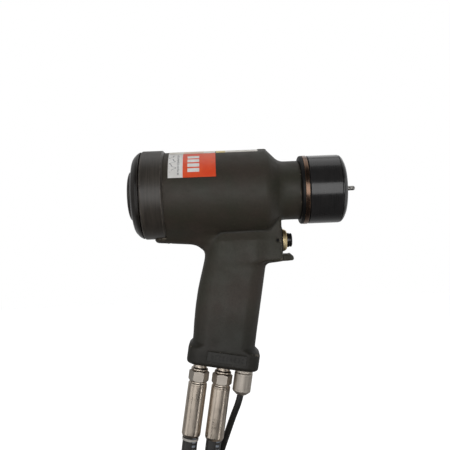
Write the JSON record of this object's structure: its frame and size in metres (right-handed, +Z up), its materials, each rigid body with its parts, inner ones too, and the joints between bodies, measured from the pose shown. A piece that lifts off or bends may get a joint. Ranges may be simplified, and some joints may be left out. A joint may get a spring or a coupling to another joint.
{
  "type": "hydraulic pistol-grip rivet tool",
  "caption": "Pistol-grip rivet (lockbolt) installation tool with barrel, domed rear cap, nose collar, push-button trigger, hydraulic hoses and control cord.",
  "frame": {"origin": "centre of the pistol grip, where the hand closes round it", "axes": "+X forward along the barrel to the nose, +Z up, +Y to the tool's left"},
  "size_m": [0.2596, 0.0818, 0.5134],
  "materials": {
    "casting": "matte olive-brown cast enamel",
    "band_black": "satin black",
    "dome_black": "gloss black",
    "oxide_steel": "black oxide, polished",
    "bronze_ring": "dark bronze",
    "bronze": "turned",
    "brass": "polished",
    "steel": "turned",
    "hard_steel": "ground",
    "plated_steel": "satin plated",
    "nickel": "satin nickel",
    "black_plastic": "moulded",
    "switch_plastic": "moulded",
    "rubber": "smooth",
    "hose_rubber": "satin cover",
    "cord_rubber": "smooth jacket",
    "label_print": "printed film",
    "label_pale": "printed film",
    "plate_black": "matte",
    "webbing": "woven"
  },
  "bodies": {
    "tool_body": {"handle_body": "casting", "cap_ring": "band_black", "end_cap": "dome_black", "end_cap_seal": "rubber", "gallery_plug": "steel", "front_gland": "bronze", "gland_seal": "rubber", "rod_seal": "rubber", "rod_wiper": "rubber", "guard_ring": "rubber", "lock_ring": "bronze_ring", "spacer_washer": "rubber", "nose_collar": "oxide_steel", "nose_plate": "oxide_steel", "trigger_bezel": "brass", "bezel_gasket": "rubber", "trigger_spring": "steel", "switch_body": "switch_plastic", "switch_set_screw": "oxide_steel", "switch_leads": "cord_rubber", "pull_hose_nipple": "plated_steel", "pull_hose_nut": "plated_steel", "pull_hose_ferrule": "plated_steel", "return_hose_nipple": "plated_steel", "return_hose_nut": "plated_steel", "return_hose_ferrule": "plated_steel", "hose_marker_ring": "label_pale", "pull_port_seal": "rubber", "return_port_seal": "rubber", "relief_body": "nickel", "relief_nut": "nickel", "relief_grommet": "rubber", "name_plate": "plate_black", "wrap_label": "label_print", "top_label": "label_pale", "pull_hose": "hose_rubber", "return_hose": "hose_rubber", "control_cord": "cord_rubber", "pull_hose_far_ferrule": "plated_steel", "pull_coupler_nut": "plated_steel", "pull_coupler_nipple": "plated_steel", "return_hose_far_ferrule": "plated_steel", "return_coupler_nut": "plated_steel", "return_coupler_body": "plated_steel", "coupler_snap_ring": "steel", "cord_plug": "switch_plastic", "plug_pins": "brass", "rear_strap": "webbing", "front_strap": "webbing"},
    "piston_group": {"piston": "steel", "piston_seal": "rubber", "guide_rings": "bronze", "collet": "hard_steel", "ejector_pin": "steel", "follower_spring": "steel"},
    "jaw_follower": {"jaw_follower": "hard_steel"},
    "jaw_1": {"jaw_1": "hard_steel"},
    "jaw_2": {"jaw_2": "hard_steel"},
    "jaw_3": {"jaw_3": "hard_steel"},
    "trigger": {"trigger_button": "black_plastic"},
    "coupler_sleeve": {"coupler_sleeve": "plated_steel"},
    "plug_ring": {"plug_ring": "nickel"}
  },
  "joints": [
    {"name": "pull_stroke", "type": "slide", "parent": "tool_body", "child": "piston_group", "axis": [-1, 0, 0], "range_m": [0, 0.025]},
    {"name": "trigger_press", "type": "slide", "parent": "tool_body", "child": "trigger", "axis": [-1, 0, 0], "range_m": [0, 0.003], "stiffness_N_per_m": 1500, "springref_m": -0.001, "deforming": ["trigger_spring"]},
    {"name": "follower_slide", "type": "slide", "parent": "piston_group", "child": "jaw_follower", "axis": [-1, 0, 0], "range_m": [0, 0.002], "stiffness_N_per_m": 2000, "springref_m": -0.002, "deforming": ["follower_spring"]},
    {"name": "jaw_1_slide", "type": "slide", "parent": "piston_group", "child": "jaw_1", "axis": [-0.9387, 0, 0.3446], "range_m": [0, 0.0022]},
    {"name": "jaw_2_slide", "type": "slide", "parent": "piston_group", "child": "jaw_2", "axis": [-0.9387, -0.2984, -0.1723], "range_m": [0, 0.0022]},
    {"name": "jaw_3_slide", "type": "slide", "parent": "piston_group", "child": "jaw_3", "axis": [-0.9387, 0.2984, -0.1723], "range_m": [0, 0.0022]},
    {"name": "sleeve_retract", "type": "slide", "parent": "tool_body", "child": "coupler_sleeve", "axis": [0, 0, 1], "range_m": [0, 0.004], "stiffness_N_per_m": 2000, "springref_m": -0.001},
    {"name": "plug_ring_turn", "type": "hinge", "parent": "tool_body", "child": "plug_ring", "pos_m": [0.0197, 0.00263, -0.17369], "axis": [-1, 0, 0], "continuous": true}
  ],
  "couplings": [
    {"joint": "jaw_1_slide", "follows": "follower_slide", "ratio": 1.0652},
    {"joint": "jaw_2_slide", "follows": "follower_slide", "ratio": 1.0652},
    {"joint": "jaw_3_slide", "follows": "follower_slide", "ratio": 1.0652}
  ]
}
